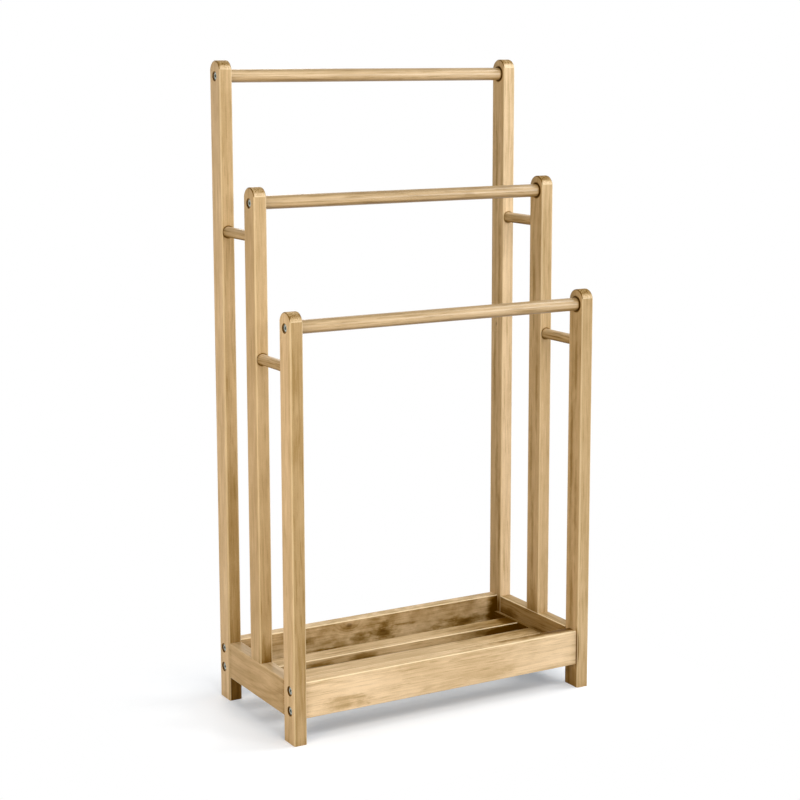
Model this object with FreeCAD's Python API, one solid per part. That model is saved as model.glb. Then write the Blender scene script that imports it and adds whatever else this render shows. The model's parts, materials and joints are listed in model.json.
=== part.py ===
import FreeCAD, Part
import math
import os

# Freestanding towel stand: two side frames of stepped posts, three round
# towel bars between them and a slatted tray near the floor.
# Millimetres, +Z up, +X to the right, the lowest bar faces -Y.
# The origin is on the floor, under the centre of the stand.

V = FreeCAD.Vector
X_AXIS = V(1, 0, 0)
Y_AXIS = V(0, 1, 0)
Z_AXIS = V(0, 0, 1)

# ---- Driving dimensions -----------------------------------------------

# Overall size
stand_width = 455.0
stand_depth = 225.0
rear_post_height = 860.0
middle_post_top = 702.0
front_post_height = 555.0

# Posts: narrow across the stand, deep from front to back, crowned on top
post_width = 18.0
post_depth = 30.0
crown_rise = 11.3
post_arris = 2.0

# Towel bars, each below its posts' tops, and the blind sockets that they seat in
bar_diameter = 17.5
bar_drop = 20.0
bar_socket_depth = 8.0
bar_socket_bevel = 1.5
bar_end_arris = 1.0

# Short spacer dowels between neighbouring posts of one side, each below the
# top of the shorter of the two
spacer_diameter = 14.0
spacer_socket_depth = 8.0
upper_spacer_drop = 63.5
lower_spacer_drop = 71.5

# Rails of the tray frame
rail_bottom = 33.0
rail_height = 48.0
rail_thickness = 18.0
rail_setback = 3.5
rail_arris = 1.5

# Rabbeted ledgers that carry the slats
ledger_rise = 3.5
ledger_height = 20.0
ledger_lip = 5.0
ledger_seat = 15.0

# Slats, counted from the front
slat_count = 3
slat_width = 30.0
slat_thickness = 12.0
slat_front_gap = 2.5
slat_rear_gap = 32.5
slat_arris = 1.5

# Frame screws: cap head with a hex socket, sunk in a counterbore
head_diameter = 11.0
head_height = 3.2
head_recess = 1.0
hex_across_flats = 4.0
hex_depth = 2.2
shank_diameter = 6.0
bar_screw_length = 45.0
rail_screw_length = 60.0
rail_screw_edge = 10.7

# Countersunk screws of the slats and ledgers
wood_screw_diameter = 3.5
wood_screw_head = 7.0
wood_screw_head_height = 2.2
wood_screw_socket = 2.0
wood_screw_socket_depth = 1.2
slat_screw_length = 16.0
ledger_screw_length = 32.0

# Glued dowel pins, hidden in the joints
pin_diameter = 8.0
rail_pin_in_post = 11.0
rail_pin_in_rail = 20.0
rail_pin_edge = 15.0
foot_pin_reach = 20.0
foot_pin_edge = 7.5

# Clearances
socket_clearance = 0.1
counterbore_clearance = 0.5
end_clearance = 0.3
hole_clearance = 0.1

# ---- Places worked out from them --------------------------------------

outer_face = stand_width / 2
inner_face = outer_face - post_width
post_centre_x = outer_face - post_width / 2
outer_post_y = (stand_depth - post_depth) / 2
rail_top = rail_bottom + rail_height
rail_centre_y = stand_depth / 2 - rail_setback - rail_thickness / 2
tray_half_depth = rail_centre_y - rail_thickness / 2
ledger_bottom = rail_bottom + ledger_rise
ledger_top = ledger_bottom + ledger_height
slat_bottom = ledger_top - slat_thickness
slats_span = 2 * tray_half_depth - slat_front_gap - slat_rear_gap
slat_gap = (slats_span - slat_count * slat_width) / max(slat_count - 1, 1)
lip_face = inner_face - ledger_lip
ledger_face = lip_face - ledger_seat
counterbore_depth = head_recess + head_height
side_rail_end = outer_post_y - post_depth / 2

REAR, MIDDLE, FRONT = "rear", "middle", "front"
ROW_Y = {REAR: outer_post_y, MIDDLE: 0.0, FRONT: -outer_post_y}
POST_TOP = {REAR: rear_post_height, MIDDLE: middle_post_top, FRONT: front_post_height}
POST_FOOT = {REAR: 0.0, MIDDLE: rail_top, FRONT: 0.0}
SIDES = {"left": -1, "right": 1}
SPACERS = {
    "upper": (REAR, MIDDLE, middle_post_top - upper_spacer_drop),
    "lower": (MIDDLE, FRONT, front_post_height - lower_spacer_drop),
}


# ---- Shared shapes ----------------------------------------------------


def rod(diameter, start, end):
    """Solid cylinder between two points."""
    axis = end - start
    return Part.makeCylinder(diameter / 2, axis.Length, start, axis)


def block(low, high):
    """Solid box between two opposite corners."""
    size = high - low
    return Part.makeBox(size.x, size.y, size.z, low)


def round_edges(shape, radius, is_wanted):
    """Round the straight or curved edges that a test picks out."""
    return shape.makeFillet(radius, [edge for edge in shape.Edges if is_wanted(edge)])


def runs_along(edge, axis):
    """True where a straight edge is parallel to an axis."""
    ends = [vertex.Point for vertex in edge.Vertexes]
    if len(ends) != 2 or not isinstance(edge.Curve, Part.Line):
        return False
    return abs((ends[1] - ends[0]).normalize().dot(axis)) > 0.999


def board(low, high, axis, arris):
    """Board with its four long edges rounded."""
    return round_edges(block(low, high), arris, lambda edge: runs_along(edge, axis))


def mirrored(shape, side):
    """Copy of a right-hand shape, for the side that is asked for."""
    if SIDES[side] > 0:
        return shape.copy()
    return shape.mirror(V(0, 0, 0), X_AXIS)


def export(name, shape):
    """Write one node, after a check that its solids are sound."""
    if not shape.isValid():
        raise ValueError(name + " is not a valid shape")
    shape.exportStep("parts/" + name + ".step")


# ---- Fasteners --------------------------------------------------------


def frame_screw(length, seat, inward):
    """Cap screw whose head rests on its seat and whose shank runs inward."""
    head_top = seat - inward * head_height
    screw = rod(head_diameter, head_top, seat)
    screw = screw.fuse(rod(shank_diameter, seat, seat + inward * length))
    return screw.removeSplitter().cut(hex_socket(head_top, inward))


def hex_socket(start, inward):
    """Six-sided recess in a screw head."""
    radius = hex_across_flats / math.sqrt(3)
    turn = FreeCAD.Rotation(Z_AXIS, inward)
    corners = [
        start + turn.multVec(V(radius * math.cos(a), radius * math.sin(a), 0))
        for a in (math.radians(60 * i) for i in range(6))
    ]
    face = Part.Face(Part.makePolygon(corners + corners[:1]))
    return face.extrude(inward * hex_depth)


def frame_screw_hole(length, surface, inward):
    """Counterbore and shank hole for a frame screw, from the outer surface."""
    bore = head_diameter + 2 * counterbore_clearance
    seat = surface + inward * counterbore_depth
    reach = length + end_clearance
    hole = rod(bore, surface, seat)
    return hole.fuse(rod(shank_diameter + 2 * hole_clearance, seat, seat + inward * reach))


def wood_screw_form(length, surface, inward, extra):
    """Countersunk screw, or its hole where extra is a clearance."""
    head = wood_screw_head / 2 + extra
    shank = wood_screw_diameter / 2 + extra
    cone = Part.makeCone(head, shank, wood_screw_head_height, surface, inward)
    tip = surface + inward * (length + (end_clearance if extra else 0.0))
    return cone.fuse(rod(2 * shank, surface, tip)).removeSplitter()


def wood_screw(length, surface, inward):
    """Countersunk screw with its head flush in the surface."""
    screw = wood_screw_form(length, surface, inward, 0.0)
    return screw.cut(rod(wood_screw_socket, surface, surface + inward * wood_screw_socket_depth))


def pin(start, end):
    """Glued dowel pin, short of its hole at both ends."""
    inward = (end - start).normalize()
    return rod(pin_diameter, start + inward * end_clearance, end - inward * end_clearance)


def pin_hole(start, end):
    """Hole for a dowel pin."""
    return rod(pin_diameter + 2 * hole_clearance, start, end)


# ---- Where the fasteners lie, on the right-hand side ------------------


def bar_height(row):
    """Height of a towel bar's centre."""
    return POST_TOP[row] - bar_drop


def screw_points():
    """Points on the outer face where frame screws go in, with their lengths."""
    points = [(V(outer_face, ROW_Y[row], bar_height(row)), bar_screw_length) for row in ROW_Y]
    for y in (rail_centre_y, -rail_centre_y):
        for z in (rail_bottom + rail_screw_edge, rail_top - rail_screw_edge):
            points.append((V(outer_face, y, z), rail_screw_length))
    return points


def rail_pins():
    """Ends of the pins that join the side rail to its front and rear posts."""
    pins = []
    for end in (1, -1):
        for z in (rail_bottom + rail_pin_edge, rail_top - rail_pin_edge):
            inner = V(post_centre_x, end * (side_rail_end - rail_pin_in_rail), z)
            outer = V(post_centre_x, end * (side_rail_end + rail_pin_in_post), z)
            pins.append((inner, outer))
    return pins


def foot_pins():
    """Ends of the pins that stand the middle post on the side rail."""
    offset = post_depth / 2 - foot_pin_edge
    return [
        (V(post_centre_x, y, rail_top - foot_pin_reach), V(post_centre_x, y, rail_top + foot_pin_reach))
        for y in (offset, -offset)
    ]


def slat_starts():
    """Front face of each slat, from the front to the rear."""
    first = -tray_half_depth + slat_front_gap
    return [first + i * (slat_width + slat_gap) for i in range(slat_count)]


def slat_screw_points():
    """Points under the ledger's seat where the slat screws go in."""
    x = ledger_face + ledger_seat / 2
    return [V(x, y + slat_width / 2, ledger_bottom) for y in slat_starts()]


def ledger_screw_points():
    """Points on the ledger's inner face, half way along the gap behind each slat."""
    z = (ledger_bottom + slat_bottom) / 2
    gaps = [slat_gap] * (slat_count - 1) + [slat_rear_gap]
    backs = [y + slat_width for y in slat_starts()]
    return [V(ledger_face, back + gap / 2, z) for back, gap in zip(backs, gaps)]


# ---- Wooden pieces, on the right-hand side where they have one --------


def crown_arc(x, y, top, end):
    """Half of a post's crown, from its shoulder at one end of Y to its apex."""
    half = post_depth / 2
    radius = (half ** 2 + crown_rise ** 2) / (2 * crown_rise)
    sweep = math.atan2(half, radius - crown_rise)
    points = [
        V(x, y + end * radius * math.sin(a), top - radius + radius * math.cos(a))
        for a in (sweep, sweep / 2, 0.0)
    ]
    return Part.Arc(*points).toShape()


def crowned_post(row):
    """Post blank: a straight stick with a crowned top and rounded edges."""
    y, top, foot = ROW_Y[row], POST_TOP[row], POST_FOOT[row]
    half = post_depth / 2
    foot_front, foot_rear = V(inner_face, y - half, foot), V(inner_face, y + half, foot)
    shoulder = Z_AXIS * (top - crown_rise - foot)
    outline = [
        Part.LineSegment(foot_front, foot_rear).toShape(),
        Part.LineSegment(foot_rear, foot_rear + shoulder).toShape(),
        crown_arc(inner_face, y, top, 1),
        crown_arc(inner_face, y, top, -1),
        Part.LineSegment(foot_front + shoulder, foot_front).toShape(),
    ]
    blank = Part.Face(Part.Wire(outline)).extrude(X_AXIS * post_width)
    crosswise = [X_AXIS, Y_AXIS]
    return round_edges(
        blank, post_arris, lambda edge: not any(runs_along(edge, axis) for axis in crosswise)
    )


def bar_socket(row):
    """Socket for a towel bar, with a bevelled mouth, cut from the post's inner face."""
    mouth = V(inner_face, ROW_Y[row], bar_height(row))
    radius = bar_diameter / 2 + socket_clearance
    bevel = Part.makeCone(radius + bar_socket_bevel, radius, bar_socket_bevel, mouth, X_AXIS)
    return bevel.fuse(rod(2 * radius, mouth, mouth + X_AXIS * bar_socket_depth))


def spacer_ends(rear_row, front_row, height, reach):
    """End points of a spacer, run past both post faces by a reach."""
    rear_y = ROW_Y[rear_row] - post_depth / 2 + reach
    front_y = ROW_Y[front_row] + post_depth / 2 - reach
    return V(post_centre_x, front_y, height), V(post_centre_x, rear_y, height)


def post(row):
    """Finished right-hand post with its sockets and screw holes."""
    cuts = [bar_socket(row)]
    cuts += [frame_screw_hole(length, point, -X_AXIS) for point, length in screw_points()]
    cuts += [pin_hole(*ends) for ends in rail_pins() + foot_pins()]
    for rear_row, front_row, height in SPACERS.values():
        ends = spacer_ends(rear_row, front_row, height, spacer_socket_depth)
        cuts.append(rod(spacer_diameter + 2 * socket_clearance, *ends))
    return crowned_post(row).cut(cuts)


def side_rail():
    """Right-hand rail of the tray, between the front and rear posts."""
    rail = board(
        V(inner_face, -side_rail_end, rail_bottom),
        V(outer_face, side_rail_end, rail_top),
        Y_AXIS,
        rail_arris,
    )
    cuts = [pin_hole(*ends) for ends in rail_pins() + foot_pins()]
    for point in ledger_screw_points():
        cuts.append(wood_screw_form(ledger_screw_length, point, X_AXIS, hole_clearance))
    return rail.cut(cuts)


def cross_rail(end):
    """Front or rear rail of the tray, between the two side frames."""
    y = end * rail_centre_y
    rail = board(
        V(-inner_face, y - rail_thickness / 2, rail_bottom),
        V(inner_face, y + rail_thickness / 2, rail_top),
        X_AXIS,
        rail_arris,
    )
    return rail.cut(both_sides(frame_screw_hole))


def towel_bar(row):
    """Round bar that reaches into a socket at each end."""
    reach = inner_face + bar_socket_depth - end_clearance
    centre = V(0, ROW_Y[row], bar_height(row))
    bar = rod(bar_diameter, centre - X_AXIS * reach, centre + X_AXIS * reach)
    ends = [edge for edge in bar.Edges if isinstance(edge.Curve, Part.Circle)]
    return bar.makeChamfer(bar_end_arris, ends).cut(both_sides(frame_screw_hole))


def both_sides(make):
    """Frame screws or their holes on both sides, as a list."""
    right = [make(length, point, -X_AXIS) for point, length in screw_points()]
    return right + [mirrored(shape, "left") for shape in right]


def spacer(rear_row, front_row, height):
    """Short dowel between two neighbouring posts."""
    reach = spacer_socket_depth - end_clearance
    return rod(spacer_diameter, *spacer_ends(rear_row, front_row, height, reach))


def ledger():
    """Right-hand ledger: a batten with a rabbet that the slat ends lie in."""
    length = tray_half_depth - end_clearance
    batten = block(V(ledger_face, -length, ledger_bottom), V(inner_face, length, ledger_top))
    rabbet = block(V(ledger_face, -length, slat_bottom), V(lip_face, length, ledger_top))
    cuts = [rabbet]
    for point in slat_screw_points():
        cuts.append(wood_screw_form(slat_screw_length, point, Z_AXIS, hole_clearance))
    for point in ledger_screw_points():
        cuts.append(wood_screw_form(ledger_screw_length, point, X_AXIS, hole_clearance))
    return batten.cut(cuts)


def slat(start):
    """Tray slat, laid across the two ledgers."""
    half_length = lip_face - end_clearance
    plank = board(
        V(-half_length, start, slat_bottom),
        V(half_length, start + slat_width, ledger_top),
        X_AXIS,
        slat_arris,
    )
    right = [
        wood_screw_form(slat_screw_length, point, Z_AXIS, hole_clearance)
        for point in slat_screw_points()
    ]
    return plank.cut(right + [mirrored(shape, "left") for shape in right])


# ---- Nodes ------------------------------------------------------------


def fastener_groups():
    """Groups of equal fasteners on the right-hand side, by node name."""
    seats = [
        (point - X_AXIS * counterbore_depth, length) for point, length in screw_points()
    ]
    screws = [frame_screw(length, seat, -X_AXIS) for seat, length in seats]
    bar_screws = len(ROW_Y)
    return {
        "bar_screws": screws[:bar_screws],
        "rail_screws": screws[bar_screws:],
        "slat_screws": [wood_screw(slat_screw_length, p, Z_AXIS) for p in slat_screw_points()],
        "ledger_screws": [
            wood_screw(ledger_screw_length, p, X_AXIS) for p in ledger_screw_points()
        ],
        "side_rail_dowels": [pin(*ends) for ends in rail_pins()],
        "post_foot_dowels": [pin(*ends) for ends in foot_pins()],
    }


def build_side(side):
    """Write every node of one side frame."""
    for row in ROW_Y:
        export("_".join(("post", row, side)), mirrored(post(row), side))
    for name, place in SPACERS.items():
        export("_".join(("spacer_dowel", name, side)), mirrored(spacer(*place), side))
    export("side_rail_" + side, mirrored(side_rail(), side))
    export("slat_ledger_" + side, mirrored(ledger(), side))
    for name, solids in fastener_groups().items():
        group = Part.makeCompound([mirrored(solid, side) for solid in solids])
        export(name + "_" + side, group)


def build_middle():
    """Write the nodes that run across the stand."""
    for row in ROW_Y:
        export("towel_bar_" + row, towel_bar(row))
    export("cross_rail_rear", cross_rail(1))
    export("cross_rail_front", cross_rail(-1))
    for number, start in enumerate(slat_starts(), 1):
        export("tray_slat_%d" % number, slat(start))


def main():
    os.makedirs("parts", exist_ok=True)
    for side in SIDES:
        build_side(side)
    build_middle()


main()
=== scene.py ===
"""Looks of a freestanding wooden towel stand: stained wood, sunk bolts, floor, light and camera.

Metres, +Z up, the lowest towel bar faces -Y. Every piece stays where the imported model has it.
"""

import json
import logging
import math
from dataclasses import dataclass, replace
from enum import Enum
from functools import cached_property

import bmesh
import bpy
from mathutils import Matrix, Vector

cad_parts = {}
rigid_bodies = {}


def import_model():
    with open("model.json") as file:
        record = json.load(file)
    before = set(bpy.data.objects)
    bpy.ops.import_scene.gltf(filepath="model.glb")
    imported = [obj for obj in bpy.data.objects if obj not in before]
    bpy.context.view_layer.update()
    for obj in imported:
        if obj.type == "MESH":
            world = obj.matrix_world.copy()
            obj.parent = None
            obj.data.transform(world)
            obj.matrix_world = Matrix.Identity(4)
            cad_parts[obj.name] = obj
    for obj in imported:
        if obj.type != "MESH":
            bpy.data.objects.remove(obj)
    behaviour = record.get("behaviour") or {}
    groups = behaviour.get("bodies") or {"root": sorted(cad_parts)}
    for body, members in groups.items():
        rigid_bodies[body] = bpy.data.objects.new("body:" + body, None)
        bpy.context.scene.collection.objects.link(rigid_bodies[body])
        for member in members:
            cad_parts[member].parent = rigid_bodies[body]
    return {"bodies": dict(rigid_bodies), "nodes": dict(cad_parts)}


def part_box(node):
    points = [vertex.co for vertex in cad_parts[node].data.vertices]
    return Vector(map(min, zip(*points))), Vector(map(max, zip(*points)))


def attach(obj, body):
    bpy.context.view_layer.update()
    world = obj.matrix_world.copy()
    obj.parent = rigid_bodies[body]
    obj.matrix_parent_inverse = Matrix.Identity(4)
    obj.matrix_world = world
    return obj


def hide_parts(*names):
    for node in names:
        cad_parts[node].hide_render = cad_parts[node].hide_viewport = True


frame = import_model()

log = logging.getLogger("towel_stand")

Socket = bpy.types.NodeSocket
Triple = tuple[float, float, float]
Value = Socket | float | tuple[float, ...]
ROOT = "root"
WHITE = (1.0, 1.0, 1.0, 1.0)


class Axis(Enum):
    """Direction that the grain of a piece runs in, or that a face looks in."""

    X = 0
    Y = 1
    Z = 2

    @property
    def across(self) -> tuple[int, int]:
        """Indices of the two directions across it."""
        first, second = [i for i in range(3) if i != self.value]
        return first, second


class Side(Enum):
    """Side frame that a piece belongs to, with its sign along X."""

    LEFT = -1
    RIGHT = 1

    @property
    def tag(self) -> str:
        """Ending of the names of this side's pieces."""
        return self.name.lower()


class Face(Enum):
    """One of a piece's flat faces, by the way that it looks."""

    LEFT = (-1.0, 0.0, 0.0)
    RIGHT = (1.0, 0.0, 0.0)
    FRONT = (0.0, -1.0, 0.0)
    REAR = (0.0, 1.0, 0.0)
    TOP = (0.0, 0.0, 1.0)
    UNDER = (0.0, 0.0, -1.0)


def srgb(red: float, green: float, blue: float) -> tuple[float, float, float, float]:
    """Turns a display colour of 0 to 255 into Blender's linear colour.

    Args:
        red: Display red.
        green: Display green.
        blue: Display blue.

    Returns:
        Linear colour with full opacity.
    """
    channels = []
    for value in (red, green, blue):
        share = value / 255
        low = share / 12.92
        channels.append(low if share <= 0.04045 else ((share + 0.055) / 1.055) ** 2.4)
    return channels[0], channels[1], channels[2], 1.0


# ---- Finishes ---------------------------------------------------------


@dataclass(frozen=True)
class Noise:
    """One noise: how often it changes per metre, its finer layers and their strength.

    Its weight is how much it darkens and pales the stain.
    """

    scale: Triple
    detail: float = 2.0
    rough: float = 0.5
    weight: float = 0.0


# Noises of the wood, with the grain along the third direction.
FIBRE = Noise((1500.0, 1500.0, 26.0), 2.0, 0.6, weight=0.1)
GRAIN = Noise((430.0, 430.0, 12.0), 3.0, 0.7, weight=0.4)
STREAK = Noise((230.0, 230.0, 5.0), 3.0, 0.62, weight=0.16)
BAND = Noise((85.0, 85.0, 2.2), weight=0.12)
PORE = Noise((560.0, 560.0, 26.0), 1.0, weight=0.14)
SPECK = Noise((800.0, 800.0, 800.0), 3.0, 0.7, weight=0.16)
STREAK_BEND = Noise((14.0, 14.0, 7.0))
RING_SWAY = Noise((9.0, 9.0, 3.2))
RING_RIPPLE = Noise((60.0, 60.0, 11.0))
RING_PATCH = Noise((22.0, 22.0, 6.0))
# Patchiness of the pale edges: wear and painted highlight.
RUB_PATCH = Noise((30.0, 30.0, 9.0))

# Mean darkness of the rings, taken off so that bolder rings leave a piece's tone as it is.
RING_MEAN = 0.35

# Noises of the metal and of the pins.
ZINC_CLOUD = Noise((420.0, 420.0, 420.0), 4.0, 0.6)
ZINC_SCRATCH = Noise((2600.0, 900.0, 2600.0))
BEECH_FLECK = Noise((900.0, 900.0, 900.0), 3.0, 0.6)


@dataclass(frozen=True)
class Knot:
    """One knot in a board, seen on the faces that its grain runs along.

    It is stretched along the grain, and pushes the rings aside by a number
    of their widths, out to its sweep, which is a number of its sizes.
    """

    centre: Triple
    size: float
    depth: float
    heart: float = 0.35
    stretch: float = 1.6
    push: float = 2.6
    sweep: float = 4.5


@dataclass(frozen=True)
class Soak:
    """A place where the stain is deeper, or less deep below zero: real patches of stain on some
    pieces, and painted shade in corners, under things and where parts meet on others.

    It fills an oval about its centre, with its full depth inside the core's
    share of the reach, and none at the reach itself.
    """

    centre: Triple
    reach: Triple
    depth: float
    core: float
    ragged: float = 0.0


@dataclass(frozen=True)
class Timber:
    """How one piece was cut from the plank and how its stain took.

    Depth is the stain's darkness from 0 to 1, and each face may be given more or less of it: a
    tone of its own on the posts, partly painted shade on the right posts' inner faces, and
    painted light and shade on the bars, spacers and tray tops.
    """

    grain: Axis
    seed: float
    depth: float
    faces: tuple[tuple[Face, float], ...] = ()
    # Change of stain along the grain; on the posts it is painted light, paler towards the foot.
    slope: float = 0.0
    pith: tuple[float, float] = (0.05, -0.04)
    ring: float = 0.0065
    figure: float = 0.10
    wander: float = 0.010
    blotch: float = 0.3
    mottle: float = 14.0
    streaks: float = 1.0
    end_soak: float = 0.12
    end_reach: float = 0.012
    arris: float = 0.0015
    crown: float = 0.0
    # Darkening towards a crown's apex: end grain, and partly painted shade.
    cap: float = 0.44
    knots: tuple[Knot, ...] = ()
    # Spots of real stain, and of painted shade in corners and at joints.
    soaks: tuple[Soak, ...] = ()
    # Pale long edges: wear, and painted highlight where light catches them.
    rubbed: tuple[tuple[Face, Face, float], ...] = ()


@dataclass(frozen=True)
class WoodFinish:
    """Stained and lacquered softwood: its tones, gloss and relief.

    Steps are how much darker each channel is in the deepest stain.
    """

    pale: Triple = (250, 224, 187)
    steps: Triple = (160, 167, 188)
    # Pale colour of wear on the edges, also used as painted highlight there.
    worn: Triple = (255, 236, 197)
    knot: Triple = (92, 62, 30)
    roughness: float = 0.34
    roughness_swing: float = 0.18
    end_roughness: float = 0.2
    gloss: float = 0.1
    relief: float = 0.2
    relief_height: float = 0.00025
    ring_relief: float = -0.35
    # Shares of that pale colour on the long edges, wear and painted highlight, and on the crease
    # under a crown, painted highlight.
    rub: float = 0.4
    crease_rub: float = 0.5
    cut_pale: float = -0.2
    cut_pores: float = 0.5
    # Painted light on the crown's shoulder, which tilts up to the lamps.
    shoulder_pale: float = -0.14
    rim_dark: float = 0.5


@dataclass(frozen=True)
class MetalFinish:
    """Bright zinc on the sunk bolts and on the hidden screws."""

    bright: Triple = (204, 209, 200)
    dull: Triple = (122, 131, 124)
    roughness: float = 0.3
    relief: float = 0.15
    relief_height: float = 0.0001


@dataclass(frozen=True)
class BeechFinish:
    """Plain beech of the glued pins."""

    pale: Triple = (222, 190, 150)
    fleck: Triple = (176, 138, 98)
    roughness: float = 0.5


class Sketch:
    """Places and joins the nodes of one material, or of the world."""

    def __init__(self, owner: bpy.types.ID, output: str = "OutputMaterial") -> None:
        """Empties the owner's nodes and gives it an output.

        Args:
            owner: New material or world.
            output: Type of its output node, without its common prefix.
        """
        self.owner = owner
        owner.use_nodes = True
        self.tree = owner.node_tree
        self.tree.nodes.clear()
        self.output = self.node(output)

    def node(self, kind: str, **settings: object) -> bpy.types.Node:
        """Adds a node and sets its properties.

        Args:
            kind: Shader node type, without its common prefix.
            settings: Properties to set on it.

        Returns:
            The new node.
        """
        made = self.tree.nodes.new("ShaderNode" + kind)
        for key, value in settings.items():
            setattr(made, key, value)
        return made

    def feed(self, socket: Socket, value: Value) -> None:
        """Links another node's output into a socket, or sets its value.

        Args:
            socket: Input of a node.
            value: Output of another node, or a constant.
        """
        if isinstance(value, Socket):
            self.tree.links.new(value, socket)
        else:
            socket.default_value = value

    def fed(self, made: bpy.types.Node, *values: Value, out: int | str = 0) -> Socket:
        """Feeds a node's inputs in their order.

        Args:
            made: The node.
            values: Its inputs, each a constant or another node's output.
            out: Which of its outputs is wanted.

        Returns:
            That output.
        """
        for socket, value in zip(made.inputs, values):
            self.feed(socket, value)
        return made.outputs[out]

    def math(self, operation: str, *values: Value, clamp: bool = False) -> Socket:
        """Adds a sum on numbers, whose result may be kept between 0 and 1."""
        return self.fed(self.node("Math", operation=operation, use_clamp=clamp), *values)

    def less(self, first: Value, second: Value) -> Socket:
        """Takes the second number from the first."""
        return self.math("SUBTRACT", first, second)

    def times(self, first: Value, second: Value) -> Socket:
        """Multiplies two numbers."""
        return self.math("MULTIPLY", first, second)

    def most(self, first: Value, second: Value) -> Socket:
        """Takes the larger of two numbers."""
        return self.math("MAXIMUM", first, second)

    def flip(self, share: Value) -> Socket:
        """Turns a share round, so that 0 is 1 and 1 is 0."""
        return self.math("SUBTRACT", 1.0, share)

    def plus(self, total: Value, share: Value, amount: Value) -> Socket:
        """Adds a share of an amount to a total."""
        return self.math("MULTIPLY_ADD", share, amount, total)

    def swing(self, total: Value, noise: Socket, amount: float) -> Socket:
        """Adds a noise to a total, up and down alike."""
        return self.plus(total, self.less(noise, 0.5), amount)

    def vector(self, operation: str, *values: Value) -> Socket:
        """Adds a sum on vectors and returns its vector."""
        return self.fed(self.node("VectorMath", operation=operation), *values)

    def measure(self, operation: str, *values: Value) -> Socket:
        """Adds a sum on vectors and returns its number."""
        return self.fed(self.node("VectorMath", operation=operation), *values, out="Value")

    def join(self, *parts: Value) -> Socket:
        """Builds a vector from three numbers."""
        return self.fed(self.node("CombineXYZ"), *parts)

    def split(self, place: Socket) -> tuple[Socket, ...]:
        """Takes a vector apart into its three numbers."""
        return tuple(self.fed(self.node("SeparateXYZ"), place).node.outputs)

    def noise(self, place: Socket, layer: Noise, out: int | str = 0) -> Socket:
        """Adds a noise that is stretched by its own scale.

        Args:
            place: Where the noise is read.
            layer: The noise.
            out: Which of the node's outputs is wanted.

        Returns:
            The noise, about 0.5.
        """
        made = self.node("TexNoise")
        self.feed(made.inputs["Vector"], self.vector("MULTIPLY", place, layer.scale))
        made.inputs["Scale"].default_value = 1.0
        made.inputs["Detail"].default_value = layer.detail
        made.inputs["Roughness"].default_value = layer.rough
        return made.outputs[out]

    def ease(self, value: Value, low: float, high: float) -> Socket:
        """Turns a number into 0 below low and 1 above high, with a soft change."""
        return self.fed(self.node("MapRange", interpolation_type="SMOOTHSTEP"), value, low, high)

    def mix(self, share: Value, first: Value, second: Value) -> Socket:
        """Mixes two colours.

        Args:
            share: Share of the second colour.
            first: First colour.
            second: Second colour.

        Returns:
            The mixed colour.
        """
        made = self.node("Mix", data_type="RGBA")
        for index, value in ((0, share), (6, first), (7, second)):
            self.feed(made.inputs[index], value)
        return made.outputs[2]

    def ramp(self, share: Socket, stops: list[tuple[float, Value]]) -> Socket:
        """Adds a colour ramp.

        Args:
            share: Place on the ramp.
            stops: Places on it, each with its colour.

        Returns:
            The colour.
        """
        made = self.node("ValToRGB")
        elements = made.color_ramp.elements
        while len(elements) < len(stops):
            elements.new(0.5)
        for element, (position, colour) in zip(elements, stops):
            element.position = position
            element.color = colour
        return self.fed(made, share)

    def bump(self, height: Socket, strength: float, distance: float) -> Socket:
        """Adds relief.

        Args:
            height: How high each point stands, from 0 to 1.
            strength: How strongly the relief shows.
            distance: Height of its highest points.

        Returns:
            The normal of the surface with its relief.
        """
        made = self.node("Bump")
        made.inputs["Strength"].default_value = strength
        made.inputs["Distance"].default_value = distance
        self.feed(made.inputs["Height"], height)
        return made.outputs[0]

    def coat(self, values: dict[str, Value]) -> bpy.types.ID:
        """Ends the material with a solid surface.

        Args:
            values: The surface shader's inputs by name.

        Returns:
            The finished material.
        """
        shader = self.node("BsdfPrincipled")
        for name, value in values.items():
            self.feed(shader.inputs[name], value)
        return self.finish(shader.outputs[0])

    def finish(self, shader: Socket) -> bpy.types.ID:
        """Joins a shader to the output and returns the owner."""
        self.feed(self.output.inputs["Surface"], shader)
        return self.owner


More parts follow.
